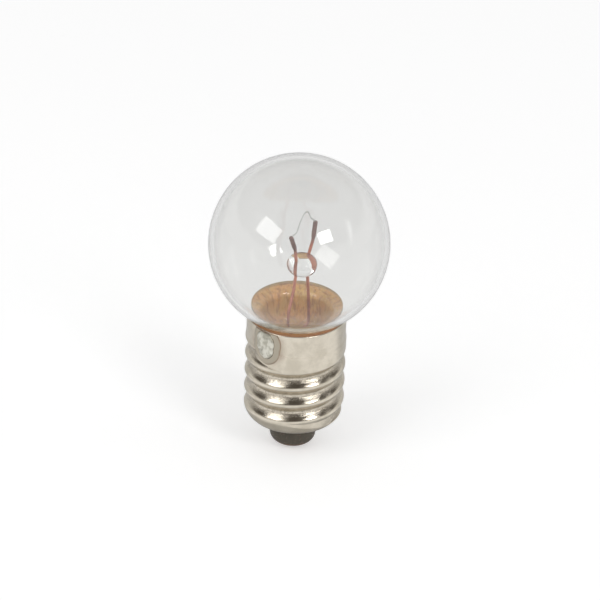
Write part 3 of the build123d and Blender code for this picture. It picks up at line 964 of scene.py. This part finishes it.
half_width = lump_width / 2
half_length = lump_length / 2
lump_middle = lump_top - half_length
corner_angles = np.array([atan2(y * half_length, x * half_width) for x, y in lump_outline])
corner_reach = np.array([sqrt((x * half_width) ** 2 + (y * half_length) ** 2) for x, y in lump_outline])
order = np.argsort(corner_angles)
spokes = np.linspace(-pi, pi, lump_spokes, endpoint=False)
edge_reach = np.interp(spokes, corner_angles[order], corner_reach[order], period=2 * pi)
for softening in range(3):
    edge_reach = (np.roll(edge_reach, 1) + 2 * edge_reach + np.roll(edge_reach, -1)) / 4


def on_collar(sideways, upward, proud):
    """A place over the collar, sideways and upward from the lump's middle, proud of the nickel."""
    turn = lead_plane_angle + sideways / collar_radius
    radius = collar_radius + proud
    return (radius * cos(turn), radius * sin(turn), lump_middle + min(upward, half_length))


points = []
for ring in range(1, lump_rings + 1):
    share = ring / lump_rings
    for spoke, edge in zip(spokes, edge_reach):
        distance = share * (edge + skirt_reach)
        within = min(distance / edge, 1)
        sideways = distance * cos(spoke)
        upward = distance * sin(spoke)
        lumps = lump_unevenness * sin(3.3 * sideways + 0.7) * cos(2.9 * upward + 1.9)
        lumps += lump_ripple * sin(7.1 * sideways - 5.3 * upward)
        body = (lump_thickness * lump_fullness + lumps) * sqrt(max(1 - within**lump_squareness, 0))
        outward = max(distance - edge, 0) / skirt_reach
        skirt = skirt_thickness * sqrt(max(1 - outward**skirt_squareness, 0)) + foot_depth
        proud = min(max(body, skirt), lump_thickness) - foot_depth
        points.append(on_collar(sideways, upward, proud))
centre = len(points)
points.append(on_collar(0, 0, lump_thickness * lump_crown))
back = len(points)
for spoke, edge in zip(spokes, edge_reach):
    distance = edge + skirt_reach
    points.append(on_collar(distance * cos(spoke), distance * sin(spoke), -shell_wall / 2))
back_centre = len(points)
points.append(on_collar(0, 0, -shell_wall / 2))
faces = []
last = (lump_rings - 1) * lump_spokes
for i in range(lump_spokes):
    j = (i + 1) % lump_spokes
    faces.append((centre, i, j))
    for ring in range(lump_rings - 1):
        inner = ring * lump_spokes
        outer = inner + lump_spokes
        faces.append((inner + i, outer + i, outer + j, inner + j))
    faces.append((last + i, back + i, back + j, last + j))
    faces.append((back + i, back_centre, back + j))
lump = piece("side_solder_lump", points, faces, tin_solder)
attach(lump, "root")
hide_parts("side_solder")

# Studio
# A white floor under a room that is pale round its walls and dark overhead, with a large soft box
# at the front left, a smaller and brighter one at the front right, and a faint strip at the right.
subject = Vector((0, 0, 18 * mm))
lamp_distance = 0.6
floor_size = 2.4
floor_grey = (0.8, 0.8, 0.8, 1)
background_lift = 0.42
rear_lift = 0.08
room_grey = (0.5, 0.5, 0.5, 1)
wall_reflected = (0.92, 0.91, 0.89, 1)
rear_reflected = (0.7, 0.7, 0.69, 1)
ceiling_reflected = (0.08, 0.068, 0.056, 1)
wall_top_band = (0.24, 0.36)
rear_wall_band = (0.2, 0.7)
# The two bands below mark a painted shadow of the lamp on the floor, seen only in reflections.
shadow_round_lamp_band = (8.5, 11)
shadow_behind_lamp_band = (0, 12)


def soft_box(name, direction, width, length, turn, radiance):
    """A rectangular lamp that faces the subject, as wide and long as it looks from a metre away."""
    lamp = bpy.data.lights.new(name, "AREA")
    lamp.shape = "RECTANGLE"
    lamp.size = width * lamp_distance
    lamp.size_y = length * lamp_distance
    lamp.energy = radiance * pi * lamp.size * lamp.size_y
    hung = bpy.data.objects.new(name, lamp)
    way = Vector(direction).normalized()
    facing = way.to_track_quat("Z", "Y").to_matrix().to_4x4() @ Matrix.Rotation(radians(turn), 4, "Z")
    hung.matrix_world = Matrix.Translation(subject + way * lamp_distance) @ facing
    hung.visible_camera = False
    bpy.context.scene.collection.objects.link(hung)


soft_box("large soft box", (-0.628, -0.512, 0.586), 0.545, 0.365, -7, 3.2)
soft_box("small soft box", (0.533, -0.645, 0.547), 0.295, 0.25, 0, 10)
soft_box("right strip", (0.896, -0.142, 0.421), 0.085, 0.31, -32, 1.3)


def looked_at(nodes):
    """1 where the camera sees a surface, directly or in a mirror or through glass, and 0 elsewhere."""
    path = "ShaderNodeLightPath"
    seen = nodes.add(path, output="Is Camera Ray")
    seen = seen.math("MAXIMUM", seen, nodes.add(path, output="Is Glossy Ray"))
    return seen.math("MAXIMUM", seen, nodes.add(path, output="Is Transmission Ray"))


def mirrored(nodes):
    """1 where a surface is seen as a reflection, and 0 where it is seen directly or through glass."""
    through = nodes.add("ShaderNodeLightPath", output="Is Transmission Ray")
    return nodes.add("ShaderNodeLightPath", output="Is Glossy Ray") * (1 - through)


floor_paint, nodes = new_finish("white floor")
matt = nodes.add("ShaderNodeBsdfDiffuse", None, {"Color": floor_grey})
place = nodes.place()
# In reflections the floor's glow fades out close round the lamp and mostly behind it: a painted shadow
# of the lamp.
close = 1 - nodes.past(nodes.from_axis(place), shadow_round_lamp_band)
behind = nodes.past(nodes.part(place, 1), shadow_behind_lamp_band)
painted_shadow = close.math("MAXIMUM", close, behind * (1 - rear_lift / background_lift))
lift = looked_at(nodes) * background_lift * (1 - painted_shadow * mirrored(nodes))
glow = nodes.add("ShaderNodeEmission", None, {"Color": (1, 1, 1, 1), "Strength": lift})
both = nodes.add("ShaderNodeAddShader", None, {0: matt, 1: glow})
nodes.add("ShaderNodeOutputMaterial", None, {"Surface": both})
half = floor_size / 2 / mm
floor_corners = [(-half, -half, 0), (half, -half, 0), (half, half, 0), (-half, half, 0)]
floor = piece("floor", floor_corners, [(0, 1, 2, 3)], floor_paint)

world = bpy.data.worlds.new("studio")
world.use_nodes = True
bpy.context.scene.world = world
nodes = Nodes(world.node_tree)
way = nodes.add("ShaderNodeTexCoord", output="Generated")
overhead = nodes.between(nodes.part(way, 2), *wall_top_band)
rearward = nodes.between(nodes.part(way, 1), *rear_wall_band)
walls = nodes.blend(rearward, wall_reflected, rear_reflected)
reflected = nodes.blend(overhead, walls, ceiling_reflected)
colour = nodes.blend(looked_at(nodes), room_grey, (1, 1, 1, 1))
colour = nodes.blend(mirrored(nodes), colour, reflected)
background = nodes.add("ShaderNodeBackground", None, {"Color": colour})
nodes.add("ShaderNodeOutputWorld", None, {"Surface": background})

scene = bpy.context.scene
scene.view_settings.view_transform = "Standard"

# Camera
# The photograph looks down at the lamp by 30 degrees from far away, and leans by 2 degrees.
camera_distance = 0.35
camera_down = radians(30)
camera_roll = radians(2.1)
lens_length = 224.5
film_width = 36
nearest_seen = 0.01
look_at = Vector((0.257, 0.574, 15.195)) * mm
back_way = Vector((0, -cos(camera_down), sin(camera_down)))
level_right = Vector((1, 0, 0))
level_up = back_way.cross(level_right)
right_way = cos(camera_roll) * level_right + sin(camera_roll) * level_up
up_way = cos(camera_roll) * level_up - sin(camera_roll) * level_right
camera_data = bpy.data.cameras.new("camera")
camera_data.lens = lens_length
camera_data.sensor_width = film_width
camera_data.clip_start = nearest_seen
camera = bpy.data.objects.new("camera", camera_data)
turned_to = Matrix((right_way, up_way, back_way)).transposed().to_4x4()
camera.matrix_world = Matrix.Translation(look_at + back_way * camera_distance) @ turned_to
scene.collection.objects.link(camera)
scene.camera = camera
